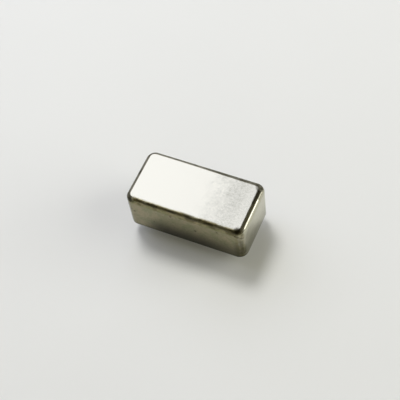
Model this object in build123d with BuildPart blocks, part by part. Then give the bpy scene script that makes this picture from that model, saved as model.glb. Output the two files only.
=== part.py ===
from build123d import *

import os

# Pins: two rows on a grid, odd numbers in the back row and even numbers in the front row
pin_columns = 4
pin_pitch = 5.08
row_spacing = 5.08
wire_diameter = 0.76
tin_thickness = 0.015
lead_length = 2.30
lead_tip_chamfer = 0.12
post_height = 0.70
weld_flare_diameter = 1.30

# Can: one deep-drawn box with its open end down; the plane of its rim is z = 0
can_end_margin = 2.16
can_side_margin = 2.35
can_height = 6.86
can_wall = 0.45
can_edge_radius = 0.95
punch_corner_radius = 1.00
punch_edge_chamfer = 0.30

# Header plate that closes the can from below
header_recess_depth = 0.35
header_thickness = 1.40
header_clearance = 0.04

# Glass seals around the insulated pins, and the solder around the rim
bead_diameter = 1.90
glass_climb_height = 0.16
glass_recess_depth = 0.10
seam_height = 0.22
seam_width = 0.42
seam_toe_width = 0.06

# Circuit board, bonded flat on the header
board_thickness = 0.80
board_clearance = 0.40
board_corner_chamfer = 0.80
board_hole_clearance = 0.10
joint_diameter = 1.50
joint_height = 0.50

# Chip parts: ceramic blocks with metal ends
chip_length = 2.00
chip_width = 1.20
capacitor_height = 0.95
resistor_height = 0.55
choke_length = 2.50
choke_width = 2.00
choke_height = 1.60
chip_end_length = 0.42
chip_end_thickness = 0.03
chip_end_chamfer = 0.08

# Moulded transistors and tuning diodes
mould_draft = 8
mould_height = 0.95
mould_lift_height = 0.06
mould_parting_height = 0.50
transistor_length = 2.90
transistor_width = 1.30
transistor_lead_spacing = 1.90
transistor_lead_width = 0.42
transistor_span_width = 2.40
diode_length = 1.70
diode_width = 1.25
diode_lead_width = 0.32
diode_span_width = 2.50
lead_thickness = 0.13
lead_foot_length = 0.22
lead_bury_depth = 0.10

# Air-core tank coil; the half turn brings its two legs down on opposite sides
coil_wire_diameter = 0.30
coil_leg_diameter = 0.36
coil_flat_count = 6
coil_diameter = 2.00
coil_pitch = 0.80
coil_turns = 2
last_turn_share = 0.5
coil_lift_height = 0.18

# Layout: a strip of parts along the middle of the board, chip parts in rows on both sides of it
strip_end_margin = 1.00
part_gap = 0.12

# Sizes and heights that follow
can_length = (pin_columns - 1) * pin_pitch + 2 * can_end_margin
can_width = row_spacing + 2 * can_side_margin
can_corner_radius = punch_corner_radius + can_wall
inside_length = can_length - 2 * can_wall
inside_width = can_width - 2 * can_wall
header_bottom = header_recess_depth
header_top = header_bottom + header_thickness
glass_top = header_top - glass_recess_depth
board_top = header_top + board_thickness
post_top = board_top + post_height
board_length = inside_length - 2 * board_clearance
board_width = inside_width - 2 * board_clearance
wire_radius = wire_diameter / 2
lead_radius = wire_radius + tin_thickness
flare_radius = weld_flare_diameter / 2
bead_radius = bead_diameter / 2
joint_radius = joint_diameter / 2
hole_radius = wire_radius + board_hole_clearance

# Places along the middle strip, from the supply end to the tuning end, with even gaps
coil_radius = coil_diameter / 2
coil_leg_radius = coil_leg_diameter / 2
coil_length = (coil_turns + last_turn_share) * coil_pitch
coil_reach = coil_length + coil_leg_diameter
strip_parts_length = 2 * transistor_length + coil_reach + 2 * diode_width
strip_gap = (board_length - 2 * strip_end_margin - strip_parts_length) / 4
buffer_x = strip_end_margin + transistor_length / 2 - board_length / 2
oscillator_x = buffer_x + transistor_length + strip_gap
coil_start = oscillator_x + transistor_length / 2 + strip_gap + coil_leg_radius
first_diode_x = coil_start + coil_length + coil_leg_radius + strip_gap + diode_width / 2
second_diode_x = first_diode_x + diode_width + strip_gap

# Rows of chip parts, starting beside the widest part of the middle strip, in the bays between pin columns
coil_outer_diameter = coil_diameter + coil_wire_diameter
strip_width = max(transistor_span_width, diode_span_width, coil_outer_diameter)
inner_row = strip_width / 2 + part_gap + chip_width / 2
outer_row = inner_row + chip_width + part_gap
choke_row = strip_width / 2 + part_gap + choke_width / 2
bay_places = {"left": -pin_pitch, "middle": 0, "right": pin_pitch}

# Pin numbers; the first two carry supply and output, and the last one takes the tuning voltage
pin_numbers = range(1, 2 * pin_columns + 1)
insulated_pins = (pin_numbers[0], pin_numbers[1], pin_numbers[-1])


def pin_place(number):
    column = (number - 1) // 2
    side = 1 if number % 2 else -1
    return ((column - (pin_columns - 1) / 2) * pin_pitch, side * row_spacing / 2)


def pin_section(number):
    # upright half-section plane through one pin: local x is the radius, local y the height
    return Plane(origin=(*pin_place(number), 0), x_dir=(1, 0, 0), z_dir=(0, -1, 0))


def pin_axis(number):
    return Axis((*pin_place(number), 0), (0, 0, 1))


def on_board(x, y):
    return Plane(origin=(x, y, board_top))


def upright_across(seat):
    return Plane(origin=seat.origin, x_dir=seat.y_dir, z_dir=seat.x_dir)


def save(piece, name):
    piece.part.label = name
    export_step(piece.part, f"parts/{name}.step")


os.makedirs("parts", exist_ok=True)

# Inside of the can, the shape of the drawing punch
with BuildPart() as can_inside:
    with BuildSketch():
        RectangleRounded(inside_length, inside_width, punch_corner_radius)
    extrude(amount=can_height - can_wall)
    chamfer(can_inside.faces().sort_by(Axis.Z)[-1].edges(), punch_edge_chamfer)

# Can
with BuildPart() as can:
    with BuildSketch():
        RectangleRounded(can_length, can_width, can_corner_radius)
    extrude(amount=can_height)
    fillet(can.faces().sort_by(Axis.Z)[-1].edges(), can_edge_radius)
    add(can_inside.part, mode=Mode.SUBTRACT)
can.part.label = "can"
export_step(can.part, "parts/can.step")

# Header plate, with a hole for each glass bead
with BuildPart() as header:
    with BuildSketch(Plane.XY.offset(header_bottom)):
        RectangleRounded(
            inside_length - 2 * header_clearance,
            inside_width - 2 * header_clearance,
            punch_corner_radius - header_clearance,
        )
        with Locations(*[pin_place(number) for number in insulated_pins]):
            Circle(bead_radius, mode=Mode.SUBTRACT)
    extrude(amount=header_thickness)
header.part.label = "header"
export_step(header.part, "parts/header.step")

# Solder fillet between the inner wall of the rim and the underside of the header
with BuildPart() as seam_solder:
    with BuildSketch(Plane.XY.offset(header_bottom - seam_height)):
        RectangleRounded(inside_length, inside_width, punch_corner_radius)
    extrude(amount=seam_height)
    for level, width in ((header_bottom - seam_height, seam_toe_width), (header_bottom, seam_width)):
        with BuildSketch(Plane.XY.offset(level)):
            RectangleRounded(
                inside_length - 2 * width,
                inside_width - 2 * width,
                punch_corner_radius - width,
            )
    loft(mode=Mode.SUBTRACT)
seam_solder.part.label = "seam_solder"
export_step(seam_solder.part, "parts/seam_solder.step")

# Pins: above the rim an insulated one runs on as bare wire, and a ground one flares into its weld
for number in pin_numbers:
    if number in insulated_pins:
        upper_points = ((wire_radius, 0), (wire_radius, post_top), (0, post_top))
    else:
        upper_points = ((flare_radius, header_bottom), (0, header_bottom))
    with BuildPart() as pin:
        with BuildSketch(pin_section(number)):
            with BuildLine():
                Polyline(
                    (0, -lead_length),
                    (lead_radius - lead_tip_chamfer, -lead_length),
                    (lead_radius, lead_tip_chamfer - lead_length),
                    (lead_radius, 0),
                    *upper_points,
                    close=True,
                )
            make_face()
        revolve(axis=pin_axis(number))
    save(pin, f"pin_{number}")

# Glass beads: the glass fills the hole and creeps down the pin in a cone
for number in insulated_pins:
    with BuildPart() as glass_bead:
        with BuildSketch(pin_section(number)):
            with BuildLine():
                Polyline(
                    (bead_radius, header_bottom),
                    (bead_radius, glass_top),
                    (wire_radius, glass_top),
                    (wire_radius, header_bottom - glass_climb_height),
                    close=True,
                )
            make_face()
        revolve(axis=pin_axis(number))
    save(glass_bead, f"glass_bead_{number}")

# Circuit board
with BuildPart() as circuit_board:
    with BuildSketch(Plane.XY.offset(header_top)) as board_outline:
        Rectangle(board_length, board_width)
        chamfer(board_outline.vertices(), board_corner_chamfer)
        with Locations(*[pin_place(number) for number in insulated_pins]):
            Circle(hole_radius, mode=Mode.SUBTRACT)
    extrude(amount=board_thickness)
circuit_board.part.label = "circuit_board"
export_step(circuit_board.part, "parts/circuit_board.step")

# Solder cones that join the insulated pins to the board
with BuildPart() as pin_solder:
    for number in insulated_pins:
        with BuildSketch(pin_section(number)):
            with BuildLine():
                Polyline(
                    (wire_radius, board_top),
                    (joint_radius, board_top),
                    (wire_radius, board_top + joint_height),
                    close=True,
                )
            make_face()
        revolve(axis=pin_axis(number))
pin_solder.part.label = "pin_solder"
export_step(pin_solder.part, "parts/pin_solder.step")


def chip_part(name, seat, length, width, height):
    # the metal ends wrap the block and stand a little proud of it
    with BuildPart() as chip:
        with BuildSketch(seat.offset(chip_end_thickness)):
            Rectangle(length - chip_end_length, width - 2 * chip_end_thickness)
        extrude(amount=height - 2 * chip_end_thickness)
        with BuildSketch(seat):
            with GridLocations(length - chip_end_length, 0, 2, 1):
                Rectangle(chip_end_length, width)
        extrude(amount=height)
        for end in (0, -1):
            chamfer(chip.faces().sort_by(Axis.X)[end].edges(), chip_end_chamfer)
    save(chip, name)


def moulded_part(name, seat, length, width, span, lead_width, lead_places):
    # drafted body over bent leads; each lead is given by its side and its place along the body
    leg = span / 2 - lead_foot_length
    exit_height = mould_parting_height - lead_thickness / 2
    with BuildPart() as moulded:
        with BuildSketch(seat.offset(mould_parting_height)):
            Rectangle(length, width)
        extrude(amount=mould_height - mould_parting_height, taper=mould_draft)
        with BuildSketch(seat.offset(mould_parting_height)):
            Rectangle(length, width)
        extrude(amount=mould_lift_height - mould_parting_height, taper=mould_draft)
        for side, place in lead_places:
            with BuildSketch(upright_across(seat).offset(place - lead_width / 2)):
                with BuildLine():
                    Polyline(
                        (side * (width / 2 - lead_bury_depth), exit_height + lead_thickness),
                        (side * leg, exit_height + lead_thickness),
                        (side * leg, lead_thickness),
                        (side * span / 2, lead_thickness),
                        (side * span / 2, 0),
                        (side * (leg - lead_thickness), 0),
                        (side * (leg - lead_thickness), exit_height),
                        (side * (width / 2 - lead_bury_depth), exit_height),
                        close=True,
                    )
                make_face()
            extrude(amount=lead_width)
    save(moulded, name)


# Transistors in the middle strip, with two leads in front and one behind
half_spacing = transistor_lead_spacing / 2
for name, place in (("buffer_transistor", buffer_x), ("oscillator_transistor", oscillator_x)):
    moulded_part(
        name,
        on_board(place, 0),
        transistor_length,
        transistor_width,
        transistor_span_width,
        transistor_lead_width,
        ((-1, -half_spacing), (-1, half_spacing), (1, 0)),
    )

# Tuning diodes side by side, near the tuning pin
for name, place in (("varactor_1", first_diode_x), ("varactor_2", second_diode_x)):
    moulded_part(
        name,
        on_board(place, 0),
        diode_width,
        diode_length,
        diode_span_width,
        diode_lead_width,
        ((-1, 0), (1, 0)),
    )

# Tank coil: the wire is drawn with a few flats, and its legs stand on the board
coil_height = board_top + coil_lift_height + coil_outer_diameter / 2
coil_seat = Plane(origin=(coil_start, 0, coil_height), x_dir=(0, 1, 0), z_dir=(1, 0, 0))
with BuildPart() as tank_coil:
    with BuildLine() as winding:
        Helix(coil_pitch, coil_length, coil_radius)
    turns = coil_seat.location * winding.line
    with BuildSketch(Plane(origin=turns @ 0, z_dir=turns % 0)):
        RegularPolygon(coil_wire_diameter / 2, coil_flat_count)
    sweep(path=turns, is_frenet=True)
    for end in (turns @ 0, turns @ 1):
        with BuildSketch(on_board(end.X, end.Y)):
            RegularPolygon(coil_leg_radius, coil_flat_count)
        extrude(amount=coil_height - board_top + coil_leg_radius)
tank_coil.part.label = "tank_coil"
export_step(tank_coil.part, "parts/tank_coil.step")

# Chip parts between the pin columns, each given by its bay and its row
chips = {
    "capacitor_1": ("left", inner_row),
    "capacitor_2": ("left", outer_row),
    "resistor_1": ("left", -inner_row),
    "capacitor_3": ("left", -outer_row),
    "resistor_2": ("middle", inner_row),
    "resistor_3": ("middle", outer_row),
    "resistor_4": ("middle", -inner_row),
    "capacitor_4": ("middle", -outer_row),
    "capacitor_5": ("right", -inner_row),
    "capacitor_6": ("right", -outer_row),
}
for name, (bay, row) in chips.items():
    height = capacitor_height if name.startswith("capacitor") else resistor_height
    chip_part(name, on_board(bay_places[bay], row), chip_length, chip_width, height)

# Supply choke in the bay that is left
choke_seat = on_board(bay_places["right"], choke_row)
chip_part("supply_choke", choke_seat, choke_length, choke_width, choke_height)
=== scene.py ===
import math

import bmesh
import bpy
from mathutils import Matrix, Vector


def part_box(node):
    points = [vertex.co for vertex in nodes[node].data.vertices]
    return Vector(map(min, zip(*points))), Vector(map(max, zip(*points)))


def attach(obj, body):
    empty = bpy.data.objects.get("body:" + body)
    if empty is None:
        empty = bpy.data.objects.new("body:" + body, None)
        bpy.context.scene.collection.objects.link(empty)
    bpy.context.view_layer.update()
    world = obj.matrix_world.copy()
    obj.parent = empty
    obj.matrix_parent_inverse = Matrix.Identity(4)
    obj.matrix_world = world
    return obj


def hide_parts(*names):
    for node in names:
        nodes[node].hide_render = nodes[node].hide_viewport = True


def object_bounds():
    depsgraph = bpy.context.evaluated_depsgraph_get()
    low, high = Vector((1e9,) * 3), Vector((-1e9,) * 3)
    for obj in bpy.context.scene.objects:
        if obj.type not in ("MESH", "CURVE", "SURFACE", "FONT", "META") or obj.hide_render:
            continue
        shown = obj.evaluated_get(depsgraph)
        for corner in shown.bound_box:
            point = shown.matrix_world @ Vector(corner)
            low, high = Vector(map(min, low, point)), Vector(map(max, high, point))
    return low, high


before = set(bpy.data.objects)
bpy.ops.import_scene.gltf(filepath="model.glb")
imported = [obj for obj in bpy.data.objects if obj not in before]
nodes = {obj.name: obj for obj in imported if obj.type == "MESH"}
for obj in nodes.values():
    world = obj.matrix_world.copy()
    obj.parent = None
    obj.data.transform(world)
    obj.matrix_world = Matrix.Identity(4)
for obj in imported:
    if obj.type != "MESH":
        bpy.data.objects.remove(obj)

cadLow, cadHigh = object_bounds()
mm = 0.001
hair = 0.001 * mm  # tolerance when edges are picked by place
print("frame loaded,", len(nodes), "nodes")


class Wire:  # one output socket; sums and products on it add Math nodes
    def __init__(self, kit, socket):
        self.kit = kit
        self.socket = socket

    def math(self, operation, *values):
        return self.kit.add("ShaderNodeMath", {"operation": operation}, dict(enumerate(values)))

    def __add__(self, other):
        return self.math("ADD", self, other)

    def __radd__(self, other):
        return self.math("ADD", other, self)

    def __sub__(self, other):
        return self.math("SUBTRACT", self, other)

    def __rsub__(self, other):
        return self.math("SUBTRACT", other, self)

    def __mul__(self, other):
        return self.math("MULTIPLY", self, other)

    def __rmul__(self, other):
        return self.math("MULTIPLY", other, self)

    def __truediv__(self, other):
        return self.math("DIVIDE", self, other)

    def __gt__(self, other):
        return self.math("GREATER_THAN", self, other)

    def __lt__(self, other):
        return self.math("LESS_THAN", self, other)

    def __neg__(self):
        return self.math("MULTIPLY", self, -1.0)

    def __abs__(self):
        return self.math("ABSOLUTE", self)

    def __or__(self, other):  # either of two masks
        return self + other - self * other

    def swing(self):  # a noise or a fraction, moved to lie about nought
        return self - 0.5

    def atLeast(self, other):
        return self.math("MAXIMUM", self, other)

    def atMost(self, other):
        return self.math("MINIMUM", self, other)

    def root(self):
        return self.math("SQRT", self)

    def fraction(self):
        return self.math("FRACT", self)


class Tree:  # a node tree and the one way nodes are added to it
    def __init__(self, nodeTree):
        self.tree = nodeTree

    def add(self, kind, settings, sockets, out=0):
        node = self.tree.nodes.new(kind)
        for name, value in settings.items():
            if name == "stops":  # a ramp's stops: place and colour
                while len(node.color_ramp.elements) < len(value):
                    node.color_ramp.elements.new(1.0)
                for element, (place, colour) in zip(node.color_ramp.elements, value):
                    element.position = place
                    element.color = (*colour, 1.0)
            else:
                setattr(node, name, value)
        for name, value in sockets.items():
            if isinstance(value, Wire):
                self.tree.links.new(value.socket, node.inputs[name])
            else:
                node.inputs[name].default_value = value
        return Wire(self, node.outputs[out])

    def vector(self, operation, sockets, out=0):
        return self.add("ShaderNodeVectorMath", {"operation": operation}, sockets, out)

    def mix(self, factor, first, second):  # colours
        return self.add("ShaderNodeMix", {"data_type": "RGBA"}, {0: factor, 6: first, 7: second}, 2)

    def smooth(self, value, low, high):  # soft step between two levels
        return self.add("ShaderNodeMapRange", {"interpolation_type": "SMOOTHSTEP"},
                        {"Value": value, "From Min": low, "From Max": high})


class Finish(Tree):  # one material
    def __init__(self, name):
        self.material = bpy.data.materials.new(name)
        self.material.use_nodes = True
        super().__init__(self.material.node_tree)
        self.shader = self.tree.nodes["Principled BSDF"]
        self.place = self.add("ShaderNodeTexCoord", {}, {}, "Object")

    def set(self, **values):  # the shader's sockets, by name with spaces left out
        sockets = {socket.name.replace(" ", ""): socket for socket in self.shader.inputs}
        for name, value in values.items():
            if isinstance(value, Wire):
                self.tree.links.new(value.socket, sockets[name])
            else:
                sockets[name].default_value = value

    def stretched(self, scale):
        return self.add("ShaderNodeMapping", {}, {"Vector": self.place, "Scale": scale})

    def axes(self):
        split = self.add("ShaderNodeSeparateXYZ", {}, {"Vector": self.place})
        return [Wire(self, socket) for socket in split.socket.node.outputs]

    def noise(self, size, detail=3.0, rough=0.55, where=None):  # size of a patch in metres
        sockets = {"Vector": where or self.place, "Scale": 1 / size, "Detail": detail, "Roughness": rough}
        return self.add("ShaderNodeTexNoise", {}, sockets)

    def cells(self, size):
        return self.add("ShaderNodeTexVoronoi", {}, {"Vector": self.place, "Scale": 1 / size})

    # each place is x, y, z and reach in mm; ragged is a varying length, core the full share of the reach
    def spots(self, places, ragged, core=0.3):
        mask = None
        for x, y, z, reach in places:
            gap = self.vector("DISTANCE", {0: self.place, 1: (x * mm, y * mm, z * mm)}, "Value")
            spot = 1 - self.smooth(gap + ragged, core * reach * mm, reach * mm)
            mask = mask | spot if mask else spot
        return mask

    # each line is its two ends and its reach in mm, and its strength
    def strokes(self, lines, core=0.2):
        mask = None
        for start, stop, reach, strength in lines:
            way = (Vector(stop) - Vector(start)) * mm
            out = self.vector("SUBTRACT", {0: self.place, 1: Vector(start) * mm})
            share = self.vector("DOT_PRODUCT", {0: out, 1: way / way.length_squared}, "Value")
            along = self.vector("SCALE", {0: way, "Scale": share.atLeast(0.0).atMost(1.0)})
            gap = self.vector("DISTANCE", {0: out, 1: along}, "Value")
            stroke = strength * (1 - self.smooth(gap, core * reach * mm, reach * mm))
            mask = mask | stroke if mask else stroke
        return mask

    def bump(self, height, depth, strength, under=None):
        sockets = {"Height": height, "Distance": depth, "Strength": strength}
        if under:
            sockets["Normal"] = under
        return self.add("ShaderNodeBump", {}, sockets)


# camera, from the fit to the can's edges in the photo
cameraFit = {"azimuth": 32.015, "elevation": 57.051, "roll": -10.026, "distance": 151.9 * mm,
             "shiftRight": 0.155 * mm, "shiftUp": 2.300 * mm, "lens": 87.45, "sensor": 36.0, "near": 5 * mm}


def makeCamera(fit):
    az, el, roll = (math.radians(fit[key]) for key in ("azimuth", "elevation", "roll"))
    back = Vector((math.sin(az) * math.cos(el), -math.cos(az) * math.cos(el), math.sin(el)))
    level = Vector((math.cos(az), math.sin(az), 0))
    turn = Matrix.Rotation(roll, 3, back)
    right = turn @ level
    up = back.cross(right)
    data = bpy.data.cameras.new("camera")
    data.lens = fit["lens"]
    data.sensor_width = fit["sensor"]
    data.clip_start = fit["near"]
    camera = bpy.data.objects.new("camera", data)
    bpy.context.scene.collection.objects.link(camera)
    camera.matrix_world = Matrix((right, up, back)).transposed().to_4x4()
    camera.location = back * fit["distance"] + right * fit["shiftRight"] + up * fit["shiftUp"]
    bpy.context.scene.camera = camera


makeCamera(cameraFit)
print("camera set")

# light: a wide level panel behind on the left that the top mirrors, with a dim skirt along its front edge,
# a soft key behind on the left, a small lamp behind on the right, and a fill on the right and one in front
# azimuth is counted from +x towards +y; the panels hang level and the lamps face the part
panels = {
    "panel": {"place": (-0.8475, 0.5425, 0.50), "wide": 1.505, "deep": 1.195, "power": 10.3,
              "colour": (0.80, 0.825, 1.0)},
    "skirt": {"place": (-0.8475, -0.130, 0.50), "wide": 1.505, "deep": 0.150, "power": 0.30,
              "colour": (1.0, 0.97, 0.80)},
}
lamps = {
    "key": {"azimuth": 134.5, "elevation": 62.4, "far": 0.50, "size": 0.15, "power": 1.02,
            "colour": (1.0, 0.985, 0.93), "shine": False},
    "side": {"azimuth": 32, "elevation": 17, "far": 0.50, "size": 0.16, "power": 0.20,
             "colour": (1.0, 1.0, 1.0), "shine": True},
    "fillRight": {"azimuth": 20, "elevation": 28, "far": 0.50, "size": 0.45, "power": 1.20,
                  "colour": (1.0, 0.995, 0.90), "shine": False},
    "fillFront": {"azimuth": 270, "elevation": 60, "far": 0.60, "size": 0.60, "power": 0.15,
                  "colour": (0.98, 1.0, 0.74), "shine": False},
}


def addLamp(name, shape, setting):
    data = bpy.data.lights.new(name, "AREA")
    data.shape = shape
    data.energy = setting["power"]
    data.color = setting["colour"]
    lamp = bpy.data.objects.new(name, data)
    bpy.context.scene.collection.objects.link(lamp)
    return lamp


def makePanel(name, setting):
    lamp = addLamp(name, "RECTANGLE", setting)
    lamp.data.size = setting["wide"]
    lamp.data.size_y = setting["deep"]
    lamp.location = setting["place"]


def makeLamp(name, setting):
    az, el = math.radians(setting["azimuth"]), math.radians(setting["elevation"])
    toLamp = Vector((math.cos(az) * math.cos(el), math.sin(az) * math.cos(el), math.sin(el)))
    lamp = addLamp(name, "DISK", setting)
    lamp.data.size = setting["size"]
    lamp.location = toLamp * setting["far"]
    lamp.rotation_euler = toLamp.to_track_quat("Z", "Y").to_euler()
    lamp.visible_glossy = setting["shine"]  # the key and both fills stay out of the metal


for panelName, panelSetting in panels.items():
    makePanel(panelName, panelSetting)
for lampName, lampSetting in lamps.items():
    makeLamp(lampName, lampSetting)

room = {"horizon": (0.74, 0.74, 0.70), "walls": (0.100, 0.090, 0.056), "ceiling": (0.080, 0.074, 0.048),
        "horizonTop": 0.04, "wallStart": 0.42}


def makeRoom(setting):
    world = bpy.data.worlds.new("room")
    world.use_nodes = True
    tree = Tree(world.node_tree)
    way = tree.add("ShaderNodeTexCoord", {}, {}, "Generated")
    height = tree.add("ShaderNodeSeparateXYZ", {}, {"Vector": way}, "Z")
    stops = [(setting["horizonTop"], setting["horizon"]), (setting["wallStart"], setting["walls"]),
             (1.0, setting["ceiling"])]
    colour = tree.add("ShaderNodeValToRGB", {"stops": stops}, {"Fac": height})
    background = world.node_tree.nodes["Background"]
    world.node_tree.links.new(colour.socket, background.inputs["Color"])
    bpy.context.scene.world = world


makeRoom(room)
bpy.context.scene.view_settings.view_transform = "Standard"
print("lights set")

# in the settings of the finishes, a noise is its patch size, detail and roughness,
# a bump its depth and strength, and a pair of levels or places is where a soft step starts and ends

# floor: pale paper
floorSetting = {"size": 6.0, "colour": (0.752, 0.758, 0.743), "spread": 0.02, "patch": (40 * mm, 2.0),
                "roughness": 0.75, "fibre": 0.4 * mm, "fibreBump": (0.02 * mm, 0.3)}


def makeFloor(setting):
    bm = bmesh.new()
    bmesh.ops.create_grid(bm, x_segments=1, y_segments=1, size=setting["size"] / 2)
    bmesh.ops.translate(bm, verts=bm.verts, vec=(0, 0, cadLow.z))
    mesh = bpy.data.meshes.new("floor")
    bm.to_mesh(mesh)
    bm.free()
    floor = bpy.data.objects.new("floor", mesh)
    bpy.context.scene.collection.objects.link(floor)
    finish = Finish("floorPaper")
    patch = finish.noise(*setting["patch"])
    shares = (1 - setting["spread"], 1 + setting["spread"])
    darker, lighter = ([share * part for part in setting["colour"]] + [1] for share in shares)
    finish.set(BaseColor=finish.mix(patch, darker, lighter), Roughness=setting["roughness"],
               Normal=finish.bump(finish.noise(setting["fibre"]), *setting["fibreBump"]))
    mesh.materials.append(finish.material)


makeFloor(floorSetting)
print("floor laid")

# shared by the pieces
flatWeight = 100  # flat faces stay flat beside rounded ones


def newPiece(name, bm, material, stoodFor):
    bmesh.ops.remove_doubles(bm, verts=bm.verts, dist=hair)
    mesh = bpy.data.meshes.new(name)
    bm.to_mesh(mesh)
    bm.free()
    mesh.shade_smooth()
    mesh.materials.append(material)
    piece = bpy.data.objects.new(name, mesh)
    bpy.context.scene.collection.objects.link(piece)
    even = piece.modifiers.new("evenNormals", "WEIGHTED_NORMAL")
    even.weight = flatWeight
    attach(piece, "root")
    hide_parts(stoodFor)


def roundOff(bm, edges, size, steps):
    bmesh.ops.bevel(bm, geom=edges, offset=size, offset_type="OFFSET", segments=steps, profile=0.5,
                    affect="EDGES", material=-1, clamp_overlap=True)


def turnProfile(bm, points, centre, steps, closed):  # points are radius and height
    verts = [bm.verts.new((centre.x + radius, centre.y, height)) for radius, height in points]
    edges = [bm.edges.new(pair) for pair in zip(verts, verts[1:])]
    if closed:
        edges.append(bm.edges.new((verts[-1], verts[0])))
    bmesh.ops.spin(bm, geom=verts + edges, cent=(centre.x, centre.y, 0), axis=(0, 0, 1), angle=2 * math.pi,
                   steps=steps, use_merge=True)
    bmesh.ops.remove_doubles(bm, verts=bm.verts, dist=hair)
    bmesh.ops.recalc_face_normals(bm, faces=bm.faces)


def dress(node, material):
    nodes[node].data.materials.clear()
    nodes[node].data.materials.append(material)


# can: one drawn shell, open at the bottom, with two small dents in its front corners
canSetting = {
    "corner": 1.45 * mm, "edge": 0.95 * mm, "wall": 0.45 * mm, "rim": 0.10 * mm,
    "cornerSteps": 16, "edgeSteps": 14, "rimSteps": 3,
    "dents": ((9.00, -4.62, 5.95, 0.55), (-9.30, -4.35, 6.05, 0.40)),  # x, y, z and reach in mm
    "dentDepth": 0.15 * mm,
    "grain": (0.30 * mm, 4.0, 0.60), "blotch": (1.5 * mm, 3.0), "patchLevels": (0.38, 0.62),
    "crease": (0.40 * mm, 2.0), "creaseStretch": (1, 1, 0.12), "cornerStart": (0.1 * mm, 0.7 * mm),
    # bright top that goes dull in clouds towards +x, and clears again near the end and the front
    "top": {"bright": (0.630, 0.610, 0.485, 1), "dull": (0.41, 0.40, 0.315, 1), "haze": (0.75 * mm, 2.0),
            "clouds": (0.6 * mm, 6.4 * mm), "wander": 5.0 * mm, "cover": 0.62, "hazeShare": 0.7,
            "grainShare": 1.7, "endClears": (6.4 * mm, 8.6 * mm), "endShare": 0.60,
            "frontClears": (0.0, 3.5 * mm), "frontShare": 0.25},
    "front": {"stain": (0.40, 0.345, 0.170, 1), "band": (3.95 * mm, 4.30 * mm), "cover": 0.15,
              "patchShare": 0.6},
    # tarnish on the walls; the end at +x has less, most of it low down; the bright strokes are painted
    # highlights on the creased front right corner, where the tarnish is left off
    "walls": {"mauve": (0.310, 0.262, 0.160, 1), "olive": (0.192, 0.200, 0.102, 1), "tint": 0.5,
              "tintGrain": 2.6, "tintBlotch": 2.0, "below": (0.15 * mm, 0.50 * mm), "backShare": 0.45,
              "end": (1.1 * mm, 0.1 * mm), "endWander": 1.6 * mm, "endCover": 0.20, "endLow": 0.70,
              "lowTop": 4.2 * mm, "lowDepth": 3.2 * mm, "lowLevels": (0.36, 0.54), "lowGrain": 0.5,
              "rubbed": (((9.02, -4.72, 5.30), (9.04, -4.70, 2.40), 0.24, 0.90),
                         ((8.72, -4.66, 6.25), (9.05, -4.60, 6.10), 0.22, 0.90))},
    # painted dark reflection: a dull dark line along the top's back and left edges, wider towards +x
    "line": {"back": (3.2 * mm, 3.9 * mm), "left": (8.0 * mm, 9.0 * mm), "ends": (9.25 * mm, 9.65 * mm),
             "heights": (6.0 * mm, 6.5 * mm), "wander": 0.7 * mm, "inner": 0.70 * mm, "soft": 0.14 * mm,
             "widens": (-6.0 * mm, 8.0 * mm), "widening": 0.18 * mm, "cover": 0.8, "patchShare": 0.2,
             "share": 0.95, "dullness": 0.9, "roughness": 0.75},
    # dark marks: painted shade on the foot, in the corners' creases and in the dark strokes, a painted dark
    # reflection on the rim, dirt on the front edge and in specks, and dark blots on the front corners
    "dirt": {"colour": (0.036, 0.032, 0.016, 1), "ragged": 0.5 * mm, "speckShare": 0.9,
             "foot": 0.82, "footTop": 4.7 * mm, "footDepth": 4.4 * mm, "footLeft": 0.25, "footMiddle": 0.90,
             "footStart": (-7.5 * mm, -3.0 * mm), "footRight": 0.25, "footFades": (2.5 * mm, 7.0 * mm),
             "footEnd": 0.75, "rim": 0.7, "rimTop": 0.45 * mm, "rimDepth": 0.30 * mm,
             "grime": 0.6, "grimeHeights": (5.9 * mm, 6.2 * mm), "streak": (0.45 * mm, 3.0),
             "streakStretch": (0.3, 1, 1), "streakLevels": (0.47, 0.60),
             "corners": 0.45, "cornerLevels": (0.48, 0.66),
             "bruises": ((8.62, -4.14, 6.64, 0.72), (-8.75, -4.40, 6.45, 0.50), (-7.65, -4.25, 6.62, 0.32),
                         (-9.20, -4.45, 6.30, 0.34)),
             "specks": ((-8.24, -4.89, 3.97, 0.27), (-8.75, -4.80, 4.30, 0.28), (-1.97, -4.89, 5.75, 0.24),
                        (1.90, -4.89, 3.89, 0.26), (-5.10, -4.89, 2.60, 0.18), (5.60, -4.89, 5.50, 0.20)),
             # the first five dark strokes are painted shade along the creases and edges of the front
             # corners
             "creases": (((8.45, -4.84, 6.05), (8.95, -4.74, 5.62), 0.22, 0.70),
                         ((9.20, -4.60, 5.35), (9.52, -4.28, 5.30), 0.26, 0.50),
                         ((9.36, -4.46, 4.40), (9.30, -4.52, 1.20), 0.50, 0.35),
                         ((8.62, -4.86, 4.00), (8.50, -4.88, 1.20), 0.60, 0.30),
                         ((-9.54, -4.24, 5.60), (-9.54, -4.24, 0.80), 0.42, 0.60),
                         # the dark line's turn round the back corner at +x, then painted shade that widens
                         # the right edge's dark band and dims its highlight towards the back
                         ((8.50, 4.10, 6.82), (8.98, 3.40, 6.84), 0.44, 0.70),
                         ((8.98, 3.40, 6.84), (9.04, 1.00, 6.84), 0.34, 0.60),
                         ((9.42, 4.00, 6.65), (9.42, 2.20, 6.66), 0.42, 0.60))},
    "roughness": 0.17, "grainRoughness": 0.06, "wave": (3.0 * mm, 1.0), "waveBump": (0.02 * mm, 0.35),
    "creaseBump": (0.12 * mm, 0.7), "grainBump": (0.003 * mm, 0.4),
}


def pressDents(bm, setting):
    bm.normal_update()
    for x, y, z, reach in setting["dents"]:
        for vert in bm.verts:
            nearness = 1 - (vert.co - Vector((x, y, z)) * mm).length / (reach * mm)
            if nearness > 0:
                vert.co -= vert.normal * setting["dentDepth"] * nearness * nearness * (3 - 2 * nearness)


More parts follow.
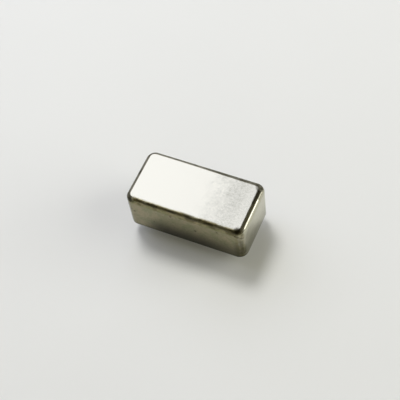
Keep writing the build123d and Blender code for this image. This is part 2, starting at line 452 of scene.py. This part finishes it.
def makeCanShell(setting, material):
    low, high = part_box("can")
    bm = bmesh.new()
    bmesh.ops.create_cube(bm, size=1.0)
    bmesh.ops.scale(bm, verts=bm.verts, vec=high - low)
    bmesh.ops.translate(bm, verts=bm.verts, vec=(low + high) / 2)
    upright = [edge for edge in bm.edges if abs(edge.verts[0].co.z - edge.verts[1].co.z) > hair]
    roundOff(bm, upright, setting["corner"], setting["cornerSteps"])
    crown = [edge for edge in bm.edges if all(vert.co.z > high.z - hair for vert in edge.verts)]
    roundOff(bm, crown, setting["edge"], setting["edgeSteps"])
    mouth = [face for face in bm.faces if face.calc_center_median().z < low.z + hair]
    bmesh.ops.delete(bm, geom=mouth, context="FACES_ONLY")
    bmesh.ops.recalc_face_normals(bm, faces=bm.faces)
    pressDents(bm, setting)
    bmesh.ops.solidify(bm, geom=bm.faces[:], thickness=setting["wall"])
    rim = [edge for edge in bm.edges if all(vert.co.z < low.z + hair for vert in edge.verts)
           and sum(face.calc_center_median().z < low.z + hair for face in edge.link_faces) == 1]
    roundOff(bm, rim, setting["rim"], setting["rimSteps"])
    newPiece("can_shell", bm, material, "can")


def makeCanMetal(setting):
    top, front, walls = setting["top"], setting["front"], setting["walls"]
    line, darkening = setting["line"], setting["dirt"]
    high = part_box("can")[1]
    finish = Finish("canMetal")
    across, depth, height = finish.axes()
    grain = finish.noise(*setting["grain"])
    blotch = finish.noise(*setting["blotch"])
    patch = finish.smooth(blotch, *setting["patchLevels"])
    crease = finish.noise(*setting["crease"], where=finish.stretched(setting["creaseStretch"]))
    # top
    haze = finish.noise(*top["haze"])
    dulled = finish.smooth(across + top["wander"] * blotch.swing(), *top["clouds"])
    dulled = dulled * (1 - top["endShare"] * finish.smooth(across, *top["endClears"]))
    dulled = dulled * (1 - top["frontShare"] * finish.smooth(-depth, *top["frontClears"]))
    dulled = dulled * (top["cover"] + top["hazeShare"] * haze.swing() + top["grainShare"] * grain.swing())
    clean = finish.mix(dulled, top["bright"], top["dull"])
    # stained front edge
    band = finish.smooth(-depth, *front["band"])
    clean = finish.mix(band * (front["cover"] + front["patchShare"] * patch), clean, front["stain"])
    # tarnished walls, the front the worst
    wall = finish.smooth(high.z - height, *walls["below"])
    endStart, endFull = (high.x - inset for inset in walls["end"])
    end = finish.smooth(across + walls["endWander"] * crease.swing(), endStart, endFull)
    lower = finish.smooth(walls["lowTop"] - height, 0.0, walls["lowDepth"])
    lower = lower * finish.smooth(blotch + walls["lowGrain"] * grain.swing(), *walls["lowLevels"])
    tint = walls["tint"] + walls["tintGrain"] * grain.swing() + walls["tintBlotch"] * blotch.swing()
    worn = finish.mix(tint, walls["mauve"], walls["olive"])
    facing = walls["backShare"] + (1 - walls["backShare"]) * finish.smooth(-depth, 0.0, high.y)
    # painted highlights: strokes on the creased front right corner without tarnish
    rubbed = finish.strokes(walls["rubbed"])
    onEnd = walls["endCover"] + walls["endLow"] * lower
    skin = finish.mix(wall * (1 - end + end * onEnd) * facing * (1 - rubbed), clean, worn)
    # painted dark reflection: a dull dark line on the edges
    overX = (abs(across) - (high.x - setting["corner"])).atLeast(0.0)
    overY = (abs(depth) - (high.y - setting["corner"])).atLeast(0.0)
    reach = (overX * overX + overY * overY).root()
    inner = line["inner"] - line["widening"] * finish.smooth(across, *line["widens"])
    edge = finish.smooth(reach, inner, inner + line["soft"])
    edge = edge * finish.smooth(height + line["wander"] * blotch.swing(), *line["heights"])
    edge = edge * (finish.smooth(depth, *line["back"]) | finish.smooth(-across, *line["left"]))
    edge = edge * (1 - finish.smooth(across, *line["ends"])) * (line["cover"] + line["patchShare"] * patch)
    # dirt and painted shade
    streak = finish.noise(*darkening["streak"], where=finish.stretched(darkening["streakStretch"]))
    grime = band * finish.smooth(height, *darkening["grimeHeights"])
    grime = grime * finish.smooth(streak, *darkening["streakLevels"])
    # painted shade low on the walls, deepening the floor's mirrored shadow, strongest in the middle of the
    # front and weak on the end
    foot = darkening["foot"] * finish.smooth(darkening["footTop"] - height, 0.0, darkening["footDepth"])
    foot = foot * (darkening["footLeft"] + darkening["footMiddle"] * finish.smooth(across, *darkening["footStart"])
                   - darkening["footRight"] * finish.smooth(across, *darkening["footFades"]))
    foot = foot * (1 - darkening["footEnd"] * end)
    # painted dark reflection along the rim's lower edge
    rim = darkening["rim"] * finish.smooth(darkening["rimTop"] - height, 0.0, darkening["rimDepth"])
    ragged = darkening["ragged"] * grain.swing()
    specks = darkening["speckShare"] * finish.spots(darkening["specks"], ragged)
    marks = finish.spots(darkening["bruises"], ragged) | specks | finish.strokes(darkening["creases"])
    corner = finish.smooth(overX, *setting["cornerStart"]) * finish.smooth(overY, *setting["cornerStart"])
    # painted shade in the upright creases of the drawn corners
    corners = darkening["corners"] * wall * corner * finish.smooth(crease, *darkening["cornerLevels"])
    # the dark colour mixes dirt with painted shade and painted dark reflections
    dirt = foot | rim | marks | line["share"] * edge | darkening["grime"] * grime | corners
    # fine grain, slow waves and upright creases in the drawn corners
    waves = finish.bump(finish.noise(*setting["wave"]), *setting["waveBump"])
    creased = finish.bump(crease * corner, *setting["creaseBump"], waves)
    rough = setting["roughness"] + setting["grainRoughness"] * grain + line["roughness"] * edge
    finish.set(BaseColor=finish.mix(dirt, skin, darkening["colour"]), Metallic=1 - line["dullness"] * edge,
               Roughness=rough, Normal=finish.bump(grain, *setting["grainBump"], creased))
    return finish.material


makeCanShell(canSetting, makeCanMetal(canSetting))
print("can drawn")

# pins: tinned leads with rounded tips; the ground pins spread into a weld under the header
pinSetting = {
    "count": 8, "insulated": (1, 2, 8), "steps": 40, "lead": 0.395 * mm, "wire": 0.38 * mm,
    "shoulder": 0.02 * mm, "postTop": 3.25 * mm, "postEdge": 0.06 * mm,
    "weldTop": 0.35 * mm, "weld": 0.65 * mm,
    # the tip's round as inset and rise, and the weld's curve as shares of its spread and rise
    "tip": ((0.17 * mm, 0), (0.09 * mm, 0.02 * mm), (0.03 * mm, 0.08 * mm), (0, 0.20 * mm)),
    "weldCurve": ((0.06, 0.35), (0.20, 0.60), (0.48, 0.82), (0.80, 0.94), (1, 1)),
    "bright": (0.80, 0.79, 0.76, 1), "dull": (0.56, 0.55, 0.52, 1), "dullShare": 0.7,
    "cut": (0.46, 0.34, 0.25, 1), "cutShare": 0.8, "cutRise": (0.10 * mm, 0.01 * mm),
    "cloud": (0.6 * mm, 4.0), "cloudLevels": (0.4, 0.7), "roughness": 0.20, "cloudRoughness": 0.18,
    "drawn": (0.12 * mm, 3.0), "drawnStretch": (1, 1, 0.08), "drawnBump": (0.006 * mm, 0.5),
}


def pinAxis(number):
    low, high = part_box(f"pin_{number}")
    return (low + high) / 2


def makePin(number, setting, material):
    lead, wire, postTop, weldTop = (setting[key] for key in ("lead", "wire", "postTop", "weldTop"))
    points = [(0, cadLow.z)] + [(lead - inset, cadLow.z + rise) for inset, rise in setting["tip"]]
    points += [(lead, -setting["shoulder"])]
    if number in setting["insulated"]:
        points += [(wire, 0), (wire, postTop - setting["postEdge"]), (wire - setting["postEdge"], postTop),
                   (0, postTop)]
    else:
        spread = setting["weld"] - lead
        points += [(lead + out * spread, rise * weldTop) for out, rise in setting["weldCurve"]]
        points += [(0, weldTop)]
    bm = bmesh.new()
    turnProfile(bm, points, pinAxis(number), setting["steps"], False)
    newPiece(f"lead_{number}", bm, material, f"pin_{number}")


def makeWireMetal(setting):
    finish = Finish("tinnedWire")
    height = finish.axes()[2]
    drawn = finish.noise(*setting["drawn"], where=finish.stretched(setting["drawnStretch"]))
    cloudy = finish.smooth(finish.noise(*setting["cloud"]), *setting["cloudLevels"])
    tinned = finish.mix(cloudy * setting["dullShare"], setting["bright"], setting["dull"])
    cutStart, cutFull = (-cadLow.z - rise for rise in setting["cutRise"])
    cut = finish.smooth(-height, cutStart, cutFull)  # bare metal where the wire was cut
    finish.set(BaseColor=finish.mix(cut * setting["cutShare"], tinned, setting["cut"]), Metallic=1.0,
               Roughness=setting["roughness"] + setting["cloudRoughness"] * cloudy,
               Normal=finish.bump(drawn, *setting["drawnBump"]))
    return finish.material


wireMetal = makeWireMetal(pinSetting)
for pinNumber in range(1, pinSetting["count"] + 1):
    makePin(pinNumber, pinSetting, wireMetal)
print("pins turned")

# glass beads: filled flush above, drawn down the pin in a hollow curve below
beadSetting = {
    "slots": {1: "index_glass", 2: "seal_glass", 8: "seal_glass"}, "steps": 48,
    "outer": 0.95 * mm, "inner": 0.38 * mm, "under": 0.35 * mm, "top": 1.65 * mm, "creep": 0.16 * mm,
    # the hollow face as shares of the glass's width and of its creep down the pin
    "hollow": ((0, 1), (0.06, 0.72), (0.18, 0.42), (0.38, 0.18), (0.66, 0.05), (1, 0)),
    "glass": {"seal_glass": {"clear": (0.33, 0.47, 0.38, 1), "deep": (0.20, 0.31, 0.24, 1)},
              "index_glass": {"clear": (0.05, 0.17, 0.62, 1), "deep": (0.02, 0.07, 0.36, 1)}},
    "bubble": 0.14 * mm, "bubbleLevels": (0.06, 0.16), "bubbleBump": (0.004 * mm, 0.4),
    "cloud": (0.5 * mm, 3.0), "roughness": 0.05, "cloudRoughness": 0.08, "ior": 1.5, "seeThrough": 0.45,
}


def makeBead(number, setting, material):
    outer, inner, under, creep = (setting[key] for key in ("outer", "inner", "under", "creep"))
    points = [(inner + out * (outer - inner), under - drop * creep) for out, drop in setting["hollow"]]
    points += [(outer, setting["top"]), (inner, setting["top"])]
    bm = bmesh.new()
    turnProfile(bm, points, pinAxis(number), setting["steps"], True)
    newPiece(f"seal_{number}", bm, material, f"glass_bead_{number}")


def makeGlass(name, setting):
    colour = setting["glass"][name]
    finish = Finish(name)
    cloud = finish.noise(*setting["cloud"])
    bubbles = finish.smooth(finish.cells(setting["bubble"]), *setting["bubbleLevels"])
    finish.set(BaseColor=finish.mix(cloud, colour["clear"], colour["deep"]), IOR=setting["ior"],
               Roughness=setting["roughness"] + setting["cloudRoughness"] * cloud,
               TransmissionWeight=setting["seeThrough"],
               Normal=finish.bump(bubbles, *setting["bubbleBump"]))
    return finish.material


glassOf = {glassName: makeGlass(glassName, beadSetting) for glassName in beadSetting["glass"]}
for pinNumber, beadSlot in beadSetting["slots"].items():
    makeBead(pinNumber, beadSetting, glassOf[beadSlot])
print("beads sealed")

# tank coil: round enamelled wire, two and a half turns along x, with both legs down to the board
coilSetting = {
    "radius": 1.00 * mm, "wire": 0.15 * mm, "pitch": 0.80 * mm, "turns": 2.5, "leg": 0.18 * mm,
    "turnSteps": 40, "wireSteps": 14, "bright": (0.74, 0.38, 0.22, 1), "deep": (0.52, 0.22, 0.11, 1),
    "cloud": (0.5 * mm, 3.0), "roughness": 0.22, "cloudRoughness": 0.12, "enamel": 0.6,
    "grain": 0.1 * mm, "grainBump": (0.003 * mm, 0.3),
}


def makeCoil(setting, material):
    low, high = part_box("tank_coil")
    radius, wire, leg, turns = (setting[key] for key in ("radius", "wire", "leg", "turns"))
    start = Vector((low.x + leg, high.y - leg, high.z - radius - wire))
    steps = round(turns * setting["turnSteps"])
    bm = bmesh.new()
    ring = bmesh.ops.create_circle(bm, segments=setting["wireSteps"], radius=wire)["verts"]
    bmesh.ops.translate(bm, verts=ring, vec=start)
    wound = bmesh.ops.spin(bm, geom=ring + bm.edges[:], cent=(start.x, start.y - radius, start.z),
                           axis=(1, 0, 0), dvec=(setting["pitch"] / setting["turnSteps"], 0, 0),
                           angle=turns * 2 * math.pi, steps=steps)["geom_last"]
    last = [item for item in wound if isinstance(item, bmesh.types.BMEdge)]
    first = [edge for edge in bm.edges if all(vert in ring for vert in edge.verts)]
    for loop in (first, last):  # the legs
        down = bmesh.ops.extrude_edge_only(bm, edges=loop)["geom"]
        feet = [item for item in down if isinstance(item, bmesh.types.BMVert)]
        bmesh.ops.translate(bm, verts=feet, vec=(0, 0, low.z - start.z))
    bmesh.ops.holes_fill(bm, edges=bm.edges, sides=0)
    bmesh.ops.recalc_face_normals(bm, faces=bm.faces)
    newPiece("coil_wire", bm, material, "tank_coil")


def makeCopper(setting):
    finish = Finish("enamelledCopper")
    cloud = finish.noise(*setting["cloud"])
    finish.set(BaseColor=finish.mix(cloud, setting["bright"], setting["deep"]), Metallic=1.0,
               Roughness=setting["roughness"] + setting["cloudRoughness"] * cloud,
               CoatWeight=setting["enamel"],
               Normal=finish.bump(finish.noise(setting["grain"]), *setting["grainBump"]))
    return finish.material


makeCoil(coilSetting, makeCopper(coilSetting))
print("coil wound")

# header plate: rolled metal
headerSetting = {"bright": (0.66, 0.63, 0.55, 1), "dull": (0.50, 0.47, 0.39, 1), "roughness": 0.28,
                 "cloud": (1.6 * mm, 5.0, 0.6), "cloudLevels": (0.35, 0.7), "cloudRoughness": 0.14,
                 "rolled": (0.15 * mm, 3.0), "rolledStretch": (0.06, 1, 1), "rolledBump": (0.004 * mm, 0.5)}


def makeHeaderMetal(setting):
    finish = Finish("headerMetal")
    rolled = finish.noise(*setting["rolled"], where=finish.stretched(setting["rolledStretch"]))
    cloud = finish.smooth(finish.noise(*setting["cloud"]), *setting["cloudLevels"])
    finish.set(BaseColor=finish.mix(cloud, setting["bright"], setting["dull"]), Metallic=1.0,
               Roughness=setting["roughness"] + setting["cloudRoughness"] * cloud,
               Normal=finish.bump(rolled, *setting["rolledBump"]))
    return finish.material


dress("header", makeHeaderMetal(headerSetting))
print("header dressed")

# solder: frosted, with a slow ripple
solderSetting = {"bright": (0.70, 0.70, 0.69, 1), "grey": (0.47, 0.47, 0.46, 1), "roughness": 0.18,
                 "frost": (0.35 * mm, 5.0, 0.65), "frostLevels": (0.4, 0.65), "frostRoughness": 0.24,
                 "frostBump": (0.004 * mm, 0.4), "ripple": (0.8 * mm, 2.0), "rippleBump": (0.05 * mm, 0.4)}


def makeSolder(setting):
    finish = Finish("solder")
    frost = finish.smooth(finish.noise(*setting["frost"]), *setting["frostLevels"])
    ripple = finish.bump(finish.noise(*setting["ripple"]), *setting["rippleBump"])
    finish.set(BaseColor=finish.mix(frost, setting["bright"], setting["grey"]), Metallic=1.0,
               Roughness=setting["roughness"] + setting["frostRoughness"] * frost,
               Normal=finish.bump(frost, *setting["frostBump"], ripple))
    return finish.material


solder = makeSolder(solderSetting)
for nodeName in ("seam_solder", "pin_solder"):
    dress(nodeName, solder)
print("solder dressed")

# circuit board: mask over copper tracks, weave under it, bare laminate on the cut edge
boardSetting = {"mask": (0.035, 0.16, 0.065, 1), "track": (0.075, 0.27, 0.10, 1),
                "edge": (0.40, 0.36, 0.20, 1), "trackStep": 1.27 * mm, "trackShare": 0.36,
                "routes": (3.2 * mm, 0.0), "routeLevel": 0.5,
                "weave": (0.2 * mm, 1.0), "weaveStretch": (1, 0.5, 1), "weaveShare": 0.15,
                "roughness": 0.32, "edgeRoughness": 0.3, "trackBump": (0.02 * mm, 0.5)}


def makeBoard(setting):
    low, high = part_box("circuit_board")
    finish = Finish("boardMask")
    across, depth, height = finish.axes()
    along, beside = (abs((axis / setting["trackStep"]).fraction().swing()) < setting["trackShare"] / 2
                     for axis in (across, depth))
    routed = finish.noise(*setting["routes"]) > setting["routeLevel"]
    track = routed * along + (1 - routed) * beside
    weave = finish.noise(*setting["weave"], where=finish.stretched(setting["weaveStretch"]))
    side = (height > low.z + hair) * (height < high.z - hair)
    painted = finish.mix(track, setting["mask"], setting["track"])
    finish.set(BaseColor=finish.mix(side, painted, setting["edge"]),
               Roughness=setting["roughness"] + setting["edgeRoughness"] * side,
               Normal=finish.bump(track + setting["weaveShare"] * weave, *setting["trackBump"]))
    return finish.material


dress("circuit_board", makeBoard(boardSetting))
print("board dressed")

# parts on the board: a block between tinned ends along x, or between tinned leads along y
partSetting = {
    "kinds": {"capacitor": {"body": (0.56, 0.43, 0.29, 1), "speck": (0.42, 0.31, 0.20, 1), "axis": 0,
                            "ends": 0.42 * mm},
              "resistor": {"body": (0.035, 0.035, 0.045, 1), "speck": (0.08, 0.08, 0.09, 1), "axis": 0,
                           "ends": 0.42 * mm},
              "choke": {"body": (0.075, 0.070, 0.068, 1), "speck": (0.13, 0.12, 0.115, 1), "axis": 0,
                        "ends": 0.42 * mm},
              "transistor": {"body": (0.020, 0.020, 0.022, 1), "speck": (0.05, 0.05, 0.052, 1), "axis": 1,
                             "ends": 0.52 * mm},
              "varactor": {"body": (0.020, 0.020, 0.022, 1), "speck": (0.05, 0.05, 0.052, 1), "axis": 1,
                           "ends": 0.37 * mm}},
    "bright": (0.76, 0.75, 0.72, 1), "dull": (0.55, 0.54, 0.52, 1), "cloud": (0.3 * mm, 3.0),
    "speck": (0.12 * mm, 4.0), "speckLevels": (0.45, 0.7), "speckBump": (0.004 * mm, 0.4),
    "roughness": 0.48, "metalShine": 0.18, "cloudRoughness": 0.1,
}


def makeTwoTone(name, kind, setting):
    low, high = (corner[kind["axis"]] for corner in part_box(name))
    finish = Finish(name)
    metal = abs(finish.axes()[kind["axis"]] - (low + high) / 2) > (high - low) / 2 - kind["ends"]
    speck = finish.smooth(finish.noise(*setting["speck"]), *setting["speckLevels"])
    cloud = finish.noise(*setting["cloud"])
    block = finish.mix(speck, kind["body"], kind["speck"])
    tinned = finish.mix(cloud, setting["bright"], setting["dull"])
    rough = setting["roughness"] - setting["metalShine"] * metal + setting["cloudRoughness"] * cloud
    finish.set(BaseColor=finish.mix(metal, block, tinned), Metallic=metal, Roughness=rough,
               Normal=finish.bump(speck, *setting["speckBump"]))
    return finish.material


for nodeName in nodes:
    for kindName, kindSetting in partSetting["kinds"].items():
        if kindName in nodeName:
            dress(nodeName, makeTwoTone(nodeName, kindSetting, partSetting))
print("board filled")
